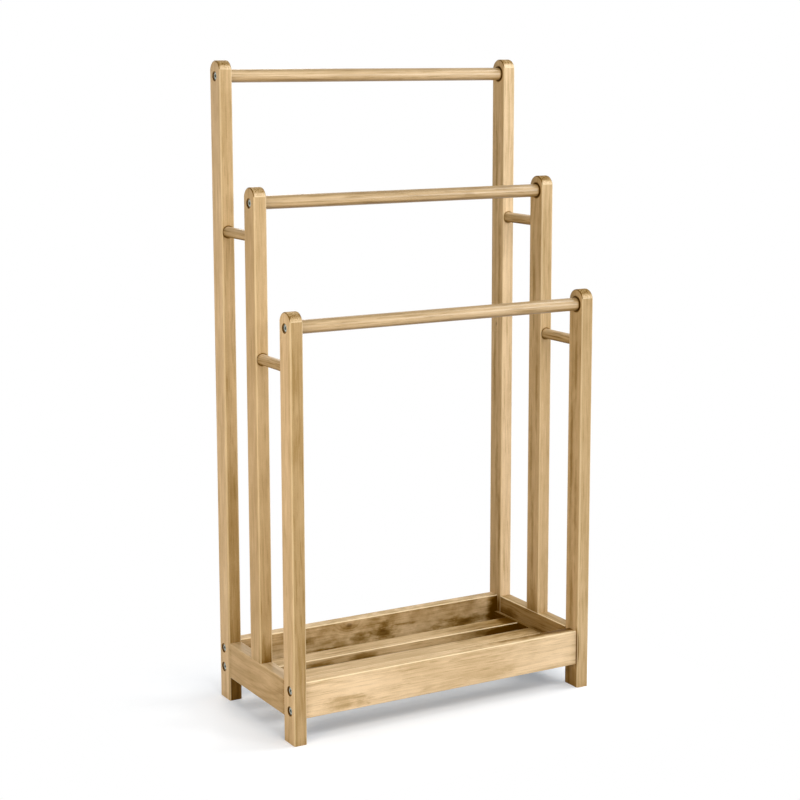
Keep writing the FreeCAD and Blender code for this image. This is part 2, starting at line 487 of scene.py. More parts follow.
class WoodShader:
    """Writes the material of one piece of stained wood.

    The grain is solid: growth rings lie round a pith line, wander along the
    piece and bend round its knots, so faces and end grain belong together.
    """

    def __init__(self, node: str, timber: Timber, finish: WoodFinish) -> None:
        """Starts the material and finds the piece's grain.

        Args:
            node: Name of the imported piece.
            timber: How the piece was cut.
            finish: Its stain and lacquer.
        """
        self.sketch = sketch = Sketch(bpy.data.materials.new("wood_" + node))
        self.timber = timber
        self.finish = finish
        self.centre, self.half = middle(node)
        self.reach = self.half[timber.grain.value]
        texture = sketch.node("TexCoord")
        self.normal = texture.outputs["Normal"]
        self.place = sketch.vector("SUBTRACT", texture.outputs["Object"], tuple(self.centre))
        self.parts = sketch.split(self.place)
        self.along = self.parts[timber.grain.value]
        self.across = [self.parts[i] for i in timber.grain.across]
        cut_from = (timber.seed, 0.37 * timber.seed, 1.7 * timber.seed)
        self.stick = sketch.vector("ADD", sketch.join(*self.across, self.along), cut_from)
        self.fibre = sketch.noise(self.stick, FIBRE)
        self.streak = sketch.noise(self.swayed(), STREAK)
        lengthwise = sketch.split(self.normal)[timber.grain.value]
        self.end = sketch.ease(sketch.math("ABSOLUTE", lengthwise), 0.3, 0.75)

    def build(self) -> bpy.types.ID:
        """Writes the whole material.

        Returns:
            The finished material.
        """
        sketch, finish = self.sketch, self.finish
        knot, push = self.knots()
        rings = self.rings(push)
        cut, crease, rise = self.crown()
        speck = sketch.noise(self.stick, SPECK)
        pores = sketch.plus(finish.cut_pale, sketch.ease(speck, 0.36, 0.66), finish.cut_pores)
        depth = sketch.swing(self.depth(rings), speck, SPECK.weight)
        depth = sketch.plus(depth, cut, pores)
        # The crown's shoulder is painted light, its apex darker as end grain, partly painted
        # shade.
        depth = sketch.math("ADD", depth, rise, clamp=True)
        # Pale edges and the crown's crease: wear, and painted highlights.
        colour = sketch.mix(self.worn(crease), self.stain(depth), srgb(*finish.worn))
        rough = sketch.swing(finish.roughness, self.fibre, finish.roughness_swing)
        rough = sketch.math("MULTIPLY_ADD", self.end, finish.end_roughness, rough, clamp=True)
        height = sketch.plus(self.fibre, rings, finish.ring_relief)
        return sketch.coat({
            "Base Color": sketch.mix(knot, colour, srgb(*finish.knot)),
            "Roughness": rough,
            "Specular IOR Level": finish.gloss,
            "Normal": sketch.bump(height, finish.relief, finish.relief_height),
        })

    def swayed(self) -> Socket:
        """Bends the place of the streaks, so that they wave along the piece.

        Returns:
            The bent place.
        """
        sketch, wander = self.sketch, self.timber.wander
        sway = sketch.noise(self.stick, STREAK_BEND, "Color")
        shift = sketch.vector("SUBTRACT", sway, (0.5, 0.5, 0.5))
        return sketch.vector("MULTIPLY_ADD", shift, (wander, wander, 0.0), self.stick)

    def facing(self, way: Value) -> Socket:
        """Measures how squarely each point looks a given way, 1 at most."""
        return self.sketch.measure("DOT_PRODUCT", self.normal, way)

    def knots(self) -> tuple[Value, Value]:
        """Adds the knots' dark hearts and the way that they push the rings aside.

        Returns:
            The share of knot colour, and the push on the rings.
        """
        sketch, timber = self.sketch, self.timber
        mask, push = 0.0, 0.0
        along = timber.grain.value
        wide = max(timber.grain.across, key=lambda i: self.half[i])
        for knot in timber.knots:
            offset = Vector(knot.centre) - self.centre
            run = sketch.less(self.along, offset[along])
            run = sketch.times(run, 1 / (knot.stretch * knot.size))
            rise = sketch.times(sketch.less(self.parts[wide], offset[wide]), 1 / knot.size)
            gap = sketch.measure("LENGTH", sketch.join(run, rise))
            heart = sketch.flip(sketch.ease(gap, knot.heart, 1.0))
            mask = sketch.most(mask, sketch.times(heart, knot.depth))
            near = sketch.flip(sketch.ease(gap, 0.3, knot.sweep))
            push = sketch.plus(push, near, knot.push * timber.ring)
        return mask, push

    def rings(self, push: Value) -> Socket:
        """Adds the growth rings, dark at the end of each year.

        Args:
            push: Push of the knots on the rings.

        Returns:
            Darkness of the rings, from 0 to 1.
        """
        sketch, timber = self.sketch, self.timber
        offsets = [sketch.less(place, pith) for place, pith in zip(self.across, timber.pith)]
        radius = sketch.math("ADD", sketch.measure("LENGTH", sketch.join(*offsets)), push)
        radius = sketch.swing(radius, sketch.noise(self.stick, RING_SWAY), 4 * timber.wander)
        radius = sketch.swing(radius, sketch.noise(self.stick, RING_RIPPLE), timber.wander / 2)
        turn = sketch.math("SINE", sketch.times(radius, 2 * math.pi / timber.ring))
        patch = sketch.ease(sketch.noise(self.stick, RING_PATCH), 0.38, 0.62)
        return sketch.times(sketch.ease(turn, -0.4, 1.0), patch)

    def depth(self, rings: Socket) -> Socket:
        """Adds up how dark the stain is at each point, with the painted light and shade carried
        by faces, slope and spots.

        Args:
            rings: Darkness of the growth rings.

        Returns:
            Stain depth, which may pass 0 and 1 a little.
        """
        sketch, timber, bold = self.sketch, self.timber, self.timber.streaks
        level = timber.depth - RING_MEAN * timber.figure
        # Slope: on the posts painted light, paler towards the foot.
        total = sketch.plus(level, self.along, -timber.slope / self.reach)
        total = sketch.plus(total, rings, timber.figure)
        pores = sketch.ease(sketch.noise(self.stick, PORE), 0.58, 0.68)
        total = sketch.plus(total, pores, PORE.weight * bold)
        cloud = Noise((40.0, 40.0, timber.mottle), 3.0, 0.6)
        layers = (
            (self.fibre, FIBRE.weight),
            (sketch.noise(self.stick, GRAIN), GRAIN.weight * bold),
            (self.streak, STREAK.weight * bold),
            (sketch.noise(self.stick, BAND), BAND.weight),
            (sketch.noise(self.stick, cloud), timber.blotch),
        )
        for noise, amount in layers:
            total = sketch.swing(total, noise, amount)
        # Faces given more or less stain: a tone of their own, and painted light and shade on
        # bars, spacers and tray tops.
        for face, change in timber.faces:
            total = sketch.plus(total, sketch.ease(self.facing(face.value), 0.35, 0.9), change)
        past = sketch.math("ABSOLUTE", self.along)
        wet = sketch.ease(past, self.reach - timber.end_reach, self.reach)
        wet = sketch.times(wet, sketch.plus(-0.2, self.streak, 1.6))
        total = sketch.plus(total, wet, timber.end_soak)
        # Spots of real stain, and of painted shade in corners and at joints.
        for soak in timber.soaks:
            total = sketch.plus(total, self.soaked(soak), soak.depth)
        return total

    @cached_property
    def fray(self) -> Socket:
        """Noise that frays the edges of the darker and paler spots."""
        scale = tuple(55.0 if i == self.timber.grain.value else 130.0 for i in range(3))
        return self.sketch.noise(self.place, Noise(scale, 3.0, 0.6))

    def soaked(self, soak: Soak) -> Socket:
        """Finds the share of one spot.

        Args:
            spot: The spot.

        Returns:
            1 in its core, 0 outside it.
        """
        sketch = self.sketch
        centre = tuple(Vector(soak.centre) - self.centre)
        offset = sketch.vector("SUBTRACT", self.place, centre)
        gap = sketch.measure("LENGTH", sketch.vector("DIVIDE", offset, soak.reach))
        if soak.ragged:
            gap = sketch.swing(gap, self.fray, soak.ragged)
        return sketch.flip(sketch.ease(gap, soak.core, 1.0))

    def crown(self) -> tuple[Value, Value, Value]:
        """Finds the cut ends of the grain, with the crown where there is one.

        Returns:
            The share of cut grain, the share of the painted highlight line under a crown, and
            the change of stain from the crown's shoulder, painted light, to its apex, darker as
            end grain and partly painted shade.
        """
        sketch, timber, finish = self.sketch, self.timber, self.finish
        if not timber.crown:
            return self.end, 0.0, 0.0
        aside = sketch.math("ABSOLUTE", self.facing(Face.RIGHT.value))
        lengthwise = sketch.flip(sketch.ease(aside, 0.3, 0.8))
        over = sketch.less(self.along, self.reach - timber.crown)
        start = sketch.ease(over, -0.0003, 0.0006)
        above = sketch.times(start, lengthwise)
        high = sketch.ease(over, 0.25 * timber.crown, 0.65 * timber.crown)
        rim = sketch.times(
            sketch.ease(aside, 0.3, 0.6), sketch.flip(sketch.ease(aside, 0.8, 0.97))
        )
        # The shoulder is painted light; the apex is darker as end grain, partly painted shade.
        rise = sketch.times(above, sketch.plus(finish.shoulder_pale, high, timber.cap))
        rise = sketch.plus(rise, sketch.times(rim, start), finish.rim_dark)
        cut = sketch.times(above, sketch.plus(0.3, high, 0.7))
        gap = sketch.math("ABSOLUTE", sketch.less(over, 0.0002))
        line = sketch.flip(sketch.ease(gap, 0.0002, 0.0009))
        return sketch.most(cut, self.end), sketch.times(line, lengthwise), rise

    def worn(self, crease: Value) -> Socket:
        """Finds where the edges are painted pale: wear, and painted highlights where light
        catches them.

        Args:
            crease: Share of the painted highlight line under a crown.

        Returns:
            The share of pale colour, for wear and painted highlight.
        """
        sketch = self.sketch
        patchy = sketch.ease(sketch.noise(self.stick, RUB_PATCH), 0.35, 0.62)
        worn = sketch.times(self.arris(), sketch.times(patchy, self.finish.rub))
        worn = sketch.most(worn, sketch.times(crease, self.finish.crease_rub))
        foot = self.reach - self.timber.crown
        below = sketch.flip(sketch.ease(self.along, foot - 0.0015, foot + 0.0005))
        strength = sketch.times(sketch.math("ADD", self.fibre, 0.5), below)
        for one, other, share in self.timber.rubbed:
            between = (Vector(one.value) + Vector(other.value)).normalized()
            edge = sketch.times(sketch.ease(self.facing(between), 0.8, 0.95), share)
            worn = sketch.most(worn, sketch.times(edge, strength))
        return worn

    def arris(self) -> Value:
        """Marks the rounded long edges, painted pale: thin lacquer from wear, and painted
        highlight where light catches the rounding.

        Returns:
            1 on the rounded edges, 0 on the faces and on end grain.
        """
        sketch, arris = self.sketch, self.timber.arris
        if not arris:
            return 0.0
        near = [
            sketch.less(sketch.math("ABSOLUTE", place), self.half[i] - arris)
            for place, i in zip(self.across, self.timber.grain.across)
        ]
        edge = sketch.ease(sketch.math("MINIMUM", *near), -0.0002, 0.3 * arris)
        return sketch.times(edge, sketch.flip(self.end))

    def stain(self, depth: Socket) -> Socket:
        """Turns the stain's depth into its colour.

        Args:
            depth: The stain's depth, from 0 to 1.

        Returns:
            The colour.
        """
        stops = []
        for share in (0.0, 0.25, 0.5, 0.75, 1.0):
            pairs = zip(self.finish.pale, self.finish.steps)
            stops.append((share, srgb(*(pale - share * step for pale, step in pairs))))
        return self.sketch.ramp(depth, stops)


def zinc(name: str, finish: MetalFinish) -> bpy.types.ID:
    """Writes bright zinc with the cloudy look of plated steel.

    Args:
        name: The material's name.
        finish: Its colours, gloss and relief.

    Returns:
        The finished material.
    """
    sketch = Sketch(bpy.data.materials.new(name))
    place = sketch.node("TexCoord").outputs["Object"]
    cloud = sketch.noise(place, ZINC_CLOUD)
    scratch = sketch.noise(place, ZINC_SCRATCH)
    return sketch.coat({
        "Metallic": 1.0,
        "Base Color": sketch.mix(cloud, srgb(*finish.dull), srgb(*finish.bright)),
        "Roughness": sketch.swing(finish.roughness, scratch, 0.3),
        "Normal": sketch.bump(scratch, finish.relief, finish.relief_height),
    })


def beech(name: str, finish: BeechFinish) -> bpy.types.ID:
    """Writes plain beech with its short flecks.

    Args:
        name: The material's name.
        finish: Its colours and gloss.

    Returns:
        The finished material.
    """
    sketch = Sketch(bpy.data.materials.new(name))
    fleck = sketch.noise(sketch.node("TexCoord").outputs["Object"], BEECH_FLECK)
    share = sketch.ease(fleck, 0.45, 0.7)
    return sketch.coat({
        "Base Color": sketch.mix(share, srgb(*finish.pale), srgb(*finish.fleck)),
        "Roughness": sketch.plus(finish.roughness, fleck, 0.2),
    })


# ---- The stand --------------------------------------------------------


def middle(node: str) -> tuple[Vector, Vector]:
    """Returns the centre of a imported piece's box and half the box's size."""
    low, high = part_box(node)
    return (low + high) / 2, (high - low) / 2


def dress(node: str, material: bpy.types.ID) -> None:
    """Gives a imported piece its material.

    Args:
        node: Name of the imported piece.
        material: The finish that it takes.
    """
    piece = frame["nodes"][node]
    piece.data.materials.clear()
    piece.data.materials.append(material)
    log.info("dressed %s", node)


def dress_wood(node: str, timber: Timber, finish: WoodFinish) -> None:
    """Gives a packed wooden piece a grain of its own."""
    dress(node, WoodShader(node, timber, finish).build())


def post_face(row: str, side: Side, way: int) -> float:
    """Returns the X of a post's outer face, for a way of 1, or of its inner face, for -1."""
    centre, half = middle(f"post_{row}_{side.tag}")
    return centre.x + way * side.value * half.x


def bar_seat(row: str) -> tuple[float, float]:
    """Returns the Y and Z of a towel bar, which its bolts share."""
    centre, _ = middle("towel_bar_" + row)
    return centre.y, centre.z


def rail_seats(row: str, side: Side) -> list[tuple[float, float]]:
    """Finds the bolts that go into a cross rail.

    Args:
        row: Row of the cross rail, front or rear.
        side: Side frame that the bolts go through.

    Returns:
        The Y and Z of the lower and of the upper bolt.
    """
    centre, half = middle("rail_screws_" + side.tag)
    out, up = half.y - Bolt.head_radius, half.z - Bolt.head_radius
    y = centre.y - out if row == "front" else centre.y + out
    return [(y, centre.z - up), (y, centre.z + up)]


@dataclass
class SideFrame:
    """Three stepped posts of one side, with their spacers, rail and ledger."""

    side: Side
    wood: WoodFinish
    posts: dict[str, Timber]
    spacers: dict[str, Timber]
    rail: Timber
    ledger: Timber
    ring_sink: float = 0.004
    ring_core: float = 0.76
    # Dark rings at the bars' sockets and the spacers' ends: stain at the joint, and painted
    # shade.
    socket_rim: float = 0.0035
    socket_stain: float = 0.75
    spacer_rim: float = 0.0025
    spacer_stain: float = 0.6
    # Painted shade round the sunk bolts: the counterbores' walls in shadow.
    bolt_rim: float = 0.0016
    bolt_sink: float = 0.003
    bolt_core: float = 0.8
    bolt_stain: float = 0.8
    bolt_dirt: tuple[float, float] = (0.0004, -0.0003)

    def socket_ring(self, row: str) -> tuple[Soak, ...]:
        """Finds the dark ring round a bar's socket: stain pooled at the joint, and painted shade
        in the socket's mouth.

        Args:
            row: Row of the post and of its bar.

        Returns:
            The ring, on the post's inner face.
        """
        reach = middle("towel_bar_" + row)[1].z + self.socket_rim
        centre = (post_face(row, self.side, -1), *bar_seat(row))
        sizes = (self.ring_sink, reach, reach)
        return (Soak(centre, sizes, self.socket_stain, self.ring_core),)

    def spacer_rings(self, row: str) -> tuple[Soak, ...]:
        """Finds the dark rings round the spacers' ends: stain pooled at the joint, and painted
        shade where they meet the post.

        Args:
            row: Row of the post.

        Returns:
            A ring for each spacer that the post holds, on the face it enters.
        """
        centre, post_half = middle(f"post_{row}_{self.side.tag}")
        rings = []
        for level, behind, before in (("upper", "rear", "middle"), ("lower", "middle", "front")):
            if row not in (behind, before):
                continue
            spacer, half = middle(f"spacer_dowel_{level}_{self.side.tag}")
            face = centre.y - post_half.y if row == behind else centre.y + post_half.y
            reach = half.z + self.spacer_rim
            sizes = (reach, self.ring_sink, reach)
            end = (spacer.x, face, spacer.z)
            rings.append(Soak(end, sizes, self.spacer_stain, self.ring_core))
        return tuple(rings)

    def bolt_rings(self, row: str) -> tuple[Soak, ...]:
        """Finds the painted shade round the sunk bolts on the post's outer face.

        Args:
            row: Row of the post.

        Returns:
            A rim of painted shade for each bolt, a little to the rear and down, on the shadowed
            side of its counterbore.
        """
        seats = [bar_seat(row)]
        if row != "middle":
            seats += rail_seats(row, self.side)
        outer = post_face(row, self.side, 1)
        reach = Bolt.head_radius + self.bolt_rim
        aside, down = self.bolt_dirt
        look = ((self.bolt_sink, reach, reach), self.bolt_stain, self.bolt_core)
        return tuple(Soak((outer, y + aside, z + down), *look) for y, z in seats)

    def build(self) -> None:
        """Dresses every wooden piece of this side."""
        for row, timber in self.posts.items():
            rings = self.socket_ring(row) + self.spacer_rings(row) + self.bolt_rings(row)
            wood = replace(timber, soaks=timber.soaks + rings)
            dress_wood(f"post_{row}_{self.side.tag}", wood, self.wood)
        for level, timber in self.spacers.items():
            dress_wood(f"spacer_dowel_{level}_{self.side.tag}", timber, self.wood)
        dress_wood("side_rail_" + self.side.tag, self.rail, self.wood)
        dress_wood("slat_ledger_" + self.side.tag, self.ledger, self.wood)


@dataclass
class TowelBars:
    """The three round bars."""

    wood: WoodFinish
    bars: dict[str, Timber]
    # Dark ends in the sockets: stain at the joint, and painted shade.
    rim: Triple = (0.0042, 1.0, 1.0)
    rim_sink: float = 0.002
    rim_stain: float = 0.8
    rim_core: float = 0.5

    def build(self) -> None:
        """Dresses the bars, dark where they enter their sockets: stain pooled at the joint, and
        painted shade.
        """
        for row, timber in self.bars.items():
            ends = []
            for side in Side:
                end = post_face(row, side, -1) + side.value * self.rim_sink
                centre = (end, *bar_seat(row))
                ends.append(Soak(centre, self.rim, self.rim_stain, self.rim_core))
            dress_wood("towel_bar_" + row, replace(timber, soaks=tuple(ends)), self.wood)


@dataclass
class Tray:
    """Cross rails and slats of the tray."""

    wood: WoodFinish
    rails: dict[str, Timber]
    slats: dict[int, Timber]

    def build(self) -> None:
        """Dresses the rails and slats."""
        for row, timber in self.rails.items():
            dress_wood("cross_rail_" + row, timber, self.wood)
        for number, timber in self.slats.items():
            dress_wood(f"tray_slat_{number}", timber, self.wood)


@dataclass(frozen=True)
class Bolt:
    """One cap bolt: a low rounded head with a six-sided socket.

    The curve holds points on the head's rounded edge, by how far they lie
    in from its side and down from its top, both in crowns.
    """

    head_radius: float = 0.0055
    head_height: float = 0.0032
    crown: float = 0.0009
    curve: tuple[tuple[float, float], ...] = ((2.6, 0.0), (1.2, 0.18), (0.4, 0.6), (0.0, 1.4))
    edge: float = 0.0003
    socket_radius: float = 0.0023
    socket_rim: float = 1.16
    socket_slant: float = 0.0002
    socket_depth: float = 0.0022
    shank_radius: float = 0.003
    tip_length: float = 0.0012
    tip_taper: float = 0.0008
    sides: int = 48

    def profile(self, length: float) -> list[tuple[float, float]]:
        """Lists the bolt's outline from the rim of its socket to its tip.

        Args:
            length: Length of the shank.

        Returns:
            Radius and height of each point, with the head's seat at 0.
        """
        head, top, shank = self.head_radius, self.head_height, self.shank_radius
        rounded = [(head - x * self.crown, top - z * self.crown) for x, z in self.curve]
        return [
            (self.socket_radius * self.socket_rim, top),
            *rounded,
            (head, self.edge),
            (head - self.edge, 0.0),
            (shank, 0.0),
            (shank, self.tip_length - length),
            (shank - self.tip_taper, -length),
        ]

    def form(self, mesh: bmesh.types.BMesh, seat: Vector, inward: int, length: float) -> None:
        """Adds the bolt to a mesh.

        Args:
            mesh: The mesh that it joins.
            seat: Centre of the face that the head rests on.
            inward: 1 or -1, the way that the shank points along X.
            length: Length of the shank.
        """
        part = bmesh.new()
        points = [part.verts.new((radius, 0.0, z)) for radius, z in self.profile(length)]
        edges = [part.edges.new(pair) for pair in zip(points, points[1:])]
        bmesh.ops.spin(
            part,
            geom=points + edges,
            cent=(0, 0, 0),
            axis=(0, 0, 1),
            angle=2 * math.pi,
            steps=self.sides,
            use_merge=True,
        )
        bmesh.ops.remove_doubles(part, verts=part.verts, dist=1e-6)
        self.close_tip(part, -length)
        self.sink_socket(part)
        bmesh.ops.recalc_face_normals(part, faces=part.faces)
        turn = Matrix.Rotation(-inward * math.pi / 2, 4, "Y")
        bmesh.ops.transform(part, matrix=Matrix.Translation(seat) @ turn, verts=part.verts)
        made = bpy.data.meshes.new("bolt_part")
        part.to_mesh(made)
        part.free()
        mesh.from_mesh(made)
        bpy.data.meshes.remove(made)

    @staticmethod
    def close_tip(part: bmesh.types.BMesh, height: float) -> None:
        """Closes the flat end of the shank."""
        rim = [e for e in part.edges if all(abs(v.co.z - height) < 1e-6 for v in e.verts)]
        bmesh.ops.contextual_create(part, geom=rim)

    def sink_socket(self, part: bmesh.types.BMesh) -> None:
        """Sinks the six-sided socket into the head.

        Args:
            part: Mesh of one bolt, open in the middle of its head.
        """
        rim = [e for e in part.edges if e.is_boundary and all(v.co.z > 0.0 for v in e.verts)]
        ring = bmesh.ops.extrude_edge_only(part, edges=rim)["geom"]
        flat = self.socket_radius * math.cos(math.pi / 6)
        for corner in (v for v in ring if isinstance(v, bmesh.types.BMVert)):
            angle = math.atan2(corner.co.y, corner.co.x) % (math.pi / 3) - math.pi / 6
            share = flat / math.cos(angle) / corner.co.xy.length
            corner.co.x *= share
            corner.co.y *= share
            corner.co.z -= self.socket_slant
        inner = [e for e in ring if isinstance(e, bmesh.types.BMEdge)]
        wall = bmesh.ops.extrude_edge_only(part, edges=inner)["geom"]
        floor = [v for v in wall if isinstance(v, bmesh.types.BMVert)]
        bmesh.ops.translate(part, verts=floor, vec=(0, 0, -self.socket_depth))
        edges = [e for e in wall if isinstance(e, bmesh.types.BMEdge)]
        bmesh.ops.contextual_create(part, geom=edges)


@dataclass
class Fasteners:
    """Sunk bolts, hidden screws and glued pins of both sides."""

    metal: bpy.types.ID
    pins: bpy.types.ID
    bolt: Bolt = Bolt()
    smooth_below: float = math.radians(35)

    def build(self) -> None:
        """Makes the bolts and dresses the hidden fasteners."""
        for side in Side:
            self.bolt_group("bar", side, [bar_seat(row) for row in ("rear", "middle", "front")])
            self.bolt_group("rail", side, rail_seats("front", side) + rail_seats("rear", side))
            for name in ("slat_screws_", "ledger_screws_"):
                dress(name + side.tag, self.metal)
            for name in ("side_rail_dowels_", "post_foot_dowels_"):
                dress(name + side.tag, self.pins)

    def bolt_group(self, kind: str, side: Side, seats: list[tuple[float, float]]) -> None:
        """Makes one group of bolts in place of its packed group.

        Args:
            kind: What the bolts hold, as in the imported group's name.
            side: Side frame that they go through.
            seats: Y and Z of each bolt.
        """
        node = f"{kind}_screws_{side.tag}"
        centre, half = middle(node)
        seat_x = centre.x + side.value * (half.x - self.bolt.head_height)
        length = 2 * half.x - self.bolt.head_height
        mesh = bmesh.new()
        for y, z in seats:
            self.bolt.form(mesh, Vector((seat_x, y, z)), -side.value, length)
        data = bpy.data.meshes.new(f"{kind}_bolts_{side.tag}")
        mesh.to_mesh(data)
        mesh.free()
        piece = bpy.data.objects.new(data.name, data)
        bpy.context.scene.collection.objects.link(piece)
        data.materials.append(self.metal)
        data.shade_smooth()
        data.set_sharp_from_angle(angle=self.smooth_below)
        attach(piece, ROOT)
        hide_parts(node)
        log.info("made %s with %d bolts", piece.name, len(seats))


# ---- Studio -----------------------------------------------------------


@dataclass(frozen=True)
class Lamp:
    """One soft square lamp."""

    name: str
    place: Triple
    aim: Triple
    size: float
    power: float
    colour: Triple = (255, 255, 255)


@dataclass
class Studio:
    """Pale floor, soft lamps and the camera.

    The floor reflects less light than it shows, and a little light of its
    own lifts its shadows: less under the tray, more beside the stand.
    """

    lamps: tuple[Lamp, ...]
    sky: float = 0.3
    floor_half: float = 6.0
    floor_colour: Triple = (234, 234, 234)
    floor_bounce: Triple = (200, 194, 184)
    lift_under: Triple = (90, 108, 122)
    lift_beside: Triple = (133, 143, 154)
    stood_on: Triple = (0.2275, 0.1125, 0.0)
    covered: Triple = (0.13, 0.04, 0.0)
    shadow_reach: float = 0.19
    lift_reach: float = 0.14
    camera_place: Triple = (-1.2082, -2.0845, 0.8622)
    yaw: float = 29.94
    pitch: float = 9.17
    roll: float = -0.107
    focal_share: float = 2.275
    shift: float = -0.06
    sensor: float = 36.0
    clip: tuple[float, float] = (0.05, 50.0)

    def build(self) -> None:
        """Makes the floor, the light and the camera."""
        self.floor()
        self.world()
        for lamp in self.lamps:
            self.lamp(lamp)
        self.camera()

    def floor(self) -> None:
        """Lays the floor: it takes the shadows near the stand and is plain white far away."""
        mesh = bmesh.new()
        bmesh.ops.create_grid(mesh, x_segments=2, y_segments=2, size=self.floor_half)
        data = bpy.data.meshes.new("studio_floor")
        mesh.to_mesh(data)
        mesh.free()
        piece = bpy.data.objects.new("studio_floor", data)
        bpy.context.scene.collection.objects.link(piece)
        data.materials.append(self.floor_paper())

    def floor_paper(self) -> bpy.types.ID:
        """Writes the floor's material.

        Returns:
            The finished material.
        """
        sketch = Sketch(bpy.data.materials.new("floor_paper"))
        rays = sketch.node("LightPath").outputs
        seen = sketch.most(rays["Is Camera Ray"], rays["Is Glossy Ray"])
        tone = sketch.mix(seen, srgb(*self.floor_bounce), srgb(*self.floor_colour))
        paper = sketch.fed(sketch.node("BsdfDiffuse"), tone)
        beside = sketch.ease(self.past(sketch, self.covered), 0.0, self.lift_reach)
        glow = sketch.mix(beside, srgb(*self.lift_under), srgb(*self.lift_beside))
        lift = sketch.fed(sketch.node("Emission"), glow, seen)
        near = sketch.fed(sketch.node("AddShader"), paper, lift)
        fade = sketch.ease(self.past(sketch, self.stood_on), 0.0, self.shadow_reach)
        white = sketch.fed(sketch.node("Emission"), WHITE)
        share = sketch.times(fade, seen)
        return sketch.finish(sketch.fed(sketch.node("MixShader"), share, near, white))

    @staticmethod
    def past(sketch: Sketch, half: Triple) -> Socket:
        """Measures how far a place on the floor lies outside a rectangle.

        Args:
            sketch: The floor's material.
            half: Half the rectangle's length and depth.

        Returns:
            The distance, 0 inside the rectangle.
        """
        place = sketch.node("TexCoord").outputs["Object"]
        outside = sketch.vector("SUBTRACT", sketch.vector("ABSOLUTE", place), half)
        return sketch.measure("LENGTH", sketch.vector("MAXIMUM", outside, (0.0, 0.0, 0.0)))

    def world(self) -> None:
        """Sets soft light from all round, and plain white where it is seen."""
        sketch = Sketch(bpy.data.worlds.new("studio"), "OutputWorld")
        rays = sketch.node("LightPath").outputs
        seen = sketch.most(rays["Is Camera Ray"], rays["Is Glossy Ray"])
        seen = sketch.most(seen, rays["Is Transmission Ray"])
        soft = sketch.fed(sketch.node("Background"), WHITE, self.sky)
        white = sketch.fed(sketch.node("Background"), WHITE, 1.0)
        mixed = sketch.fed(sketch.node("MixShader"), seen, soft, white)
        bpy.context.scene.world = sketch.finish(mixed)

    @staticmethod
    def lamp(lamp: Lamp) -> None:
        """Hangs one soft lamp and turns it to its aim.

        Args:
            lamp: Where it hangs, how large and how strong it is.
        """
        light = bpy.data.lights.new(lamp.name, "AREA")
        light.shape = "SQUARE"
        light.size = lamp.size
        light.energy = lamp.power
        light.color = srgb(*lamp.colour)[:3]
        piece = bpy.data.objects.new(lamp.name, light)
        piece.location = lamp.place
        aim = Vector(lamp.aim) - Vector(lamp.place)
        piece.rotation_euler = aim.to_track_quat("-Z", "Y").to_euler()
        bpy.context.scene.collection.objects.link(piece)

    def camera(self) -> None:
        """Sets the camera to the view of the photograph."""
        yaw, pitch, roll = (math.radians(a) for a in (self.yaw, self.pitch, self.roll))
        level = Vector((math.cos(yaw), -math.sin(yaw), 0.0))
        ahead = Vector((math.sin(yaw), math.cos(yaw), 0.0)) * math.cos(pitch)
        ahead.z = -math.sin(pitch)
        upright = level.cross(ahead)
        right = level * math.cos(roll) + upright * math.sin(roll)
        up = upright * math.cos(roll) - level * math.sin(roll)
        data = bpy.data.cameras.new("view")
        data.sensor_width = self.sensor
        data.lens = self.focal_share * self.sensor
        data.shift_y = self.shift
        data.clip_start, data.clip_end = self.clip
        piece = bpy.data.objects.new("view", data)
        axes = Matrix((right, up, -ahead)).transposed().to_4x4()
        piece.matrix_world = Matrix.Translation(self.camera_place) @ axes
        bpy.context.scene.collection.objects.link(piece)
        bpy.context.scene.camera = piece


# ---- Making -----------------------------------------------------------

LEFT_POSTS_X = -0.2185
RIGHT_INNER_X = 0.2095
REAR_RAIL_Y = 0.091
FRONT_RAIL_Y = -0.109


def soaks_on(
    axis: Axis, level: float, thick: float, *rows: tuple[float, ...]
) -> tuple[Soak, ...]:
    """Places spots of stain and painted shade on one face of a piece.

    Args:
        axis: Direction that the face looks in.
        level: Place of the face along it.
        thick: How far off the face the spots reach.
        rows: For each spot its place along the two other directions, its reach along them, its
            depth, its core and how ragged it is.

    Returns:
        The spots.
    """
    first, second = axis.across
    soaks = []
    for place_a, place_b, reach_a, reach_b, *look in rows:
        centre, reach = [level] * 3, [thick] * 3
        centre[first], centre[second] = place_a, place_b
        reach[first], reach[second] = reach_a, reach_b
        soaks.append(Soak(tuple(centre), tuple(reach), *look))
    return tuple(soaks)


def inner_soaks(*rows: tuple[float, ...]) -> tuple[Soak, ...]:
    """Places spots on the inner faces of the right side, each row from its Y and Z on."""
    return soaks_on(Axis.X, RIGHT_INNER_X, 0.004, *rows)


def inner_streaks(*places: tuple[float, float]) -> tuple[Soak, ...]:
    """Places dark streaks on a right post's inner face, each at a Y and Z."""
    return inner_soaks(*((y, z, 0.0048, 0.11, 0.2, 0.0, 1.2) for y, z in places))


def post(seed: float, depth: float, *faces: tuple[Face, float], **more: object) -> Timber:
    """Returns the wood of a crowned post.

    Args:
        seed: Number that sets its grain apart.
        depth: Depth of its stain.
        faces: Faces given more or less stain, each with the change: a tone of their own, partly
            painted shade.
        more: Other settings of its wood.

    Returns:
        The post's wood.
    """
    # Pale front edges: wear, and painted highlight.
    rubbed = ((Face.FRONT, Face.LEFT, 0.4), (Face.FRONT, Face.RIGHT, 0.4))
    settings = dict(figure=0.07, streaks=0.65, arris=0.002, crown=0.0113, rubbed=rubbed)
    return Timber(Axis.Z, seed, depth, faces, **settings, **more)


def spacers(**seeds: float) -> dict[str, Timber]:
    """Returns the wood of one side's spacers, with a painted highlight on top and painted shade
    underneath.
    """
    # Painted highlight on top, painted shade underneath.
    stain = ((Face.TOP, -0.22), (Face.UNDER, 0.4))
    return {k: Timber(Axis.Y, v, 0.42, stain, arris=0.0, streaks=1.4) for k, v in seeds.items()}


